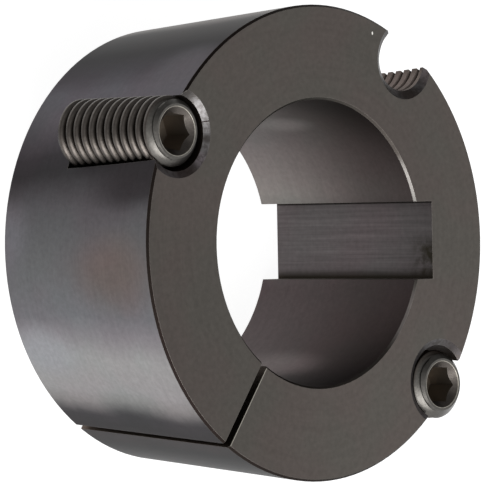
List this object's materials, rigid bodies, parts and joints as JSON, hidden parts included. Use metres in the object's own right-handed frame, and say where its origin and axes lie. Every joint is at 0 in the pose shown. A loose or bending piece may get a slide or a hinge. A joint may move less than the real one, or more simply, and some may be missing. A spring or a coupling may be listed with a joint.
{
  "type": "taper lock bushing",
  "caption": "Split tapered bushing with a keyed bore, a saw slit, smooth and tapped half-holes in its rim and socket set screws in the smooth ones.",
  "frame": {"origin": "centre of the bore on the small end's face", "axes": "+Z along the bore, towards the large end where the screw sockets are; +X through the middle of the keyway"},
  "size_m": [0.1078, 0.1078, 0.0514],
  "materials": {
    "blackened_iron": "turned and blackened",
    "screw_steel": "oiled alloy steel"
  },
  "bodies": {
    "bushing": {"bushing_body": "blackened_iron"},
    "upper_screw": {"clamp_screw_upper": "screw_steel"},
    "lower_screw": {"clamp_screw_lower": "screw_steel"}
  },
  "joints": [
    {"name": "upper_screw_slide", "type": "slide", "parent": "bushing", "child": "upper_screw", "axis": [0, 0, 1], "range_m": [0, 0.025]},
    {"name": "lower_screw_slide", "type": "slide", "parent": "bushing", "child": "lower_screw", "axis": [0, 0, 1], "range_m": [0, 0.025]}
  ]
}
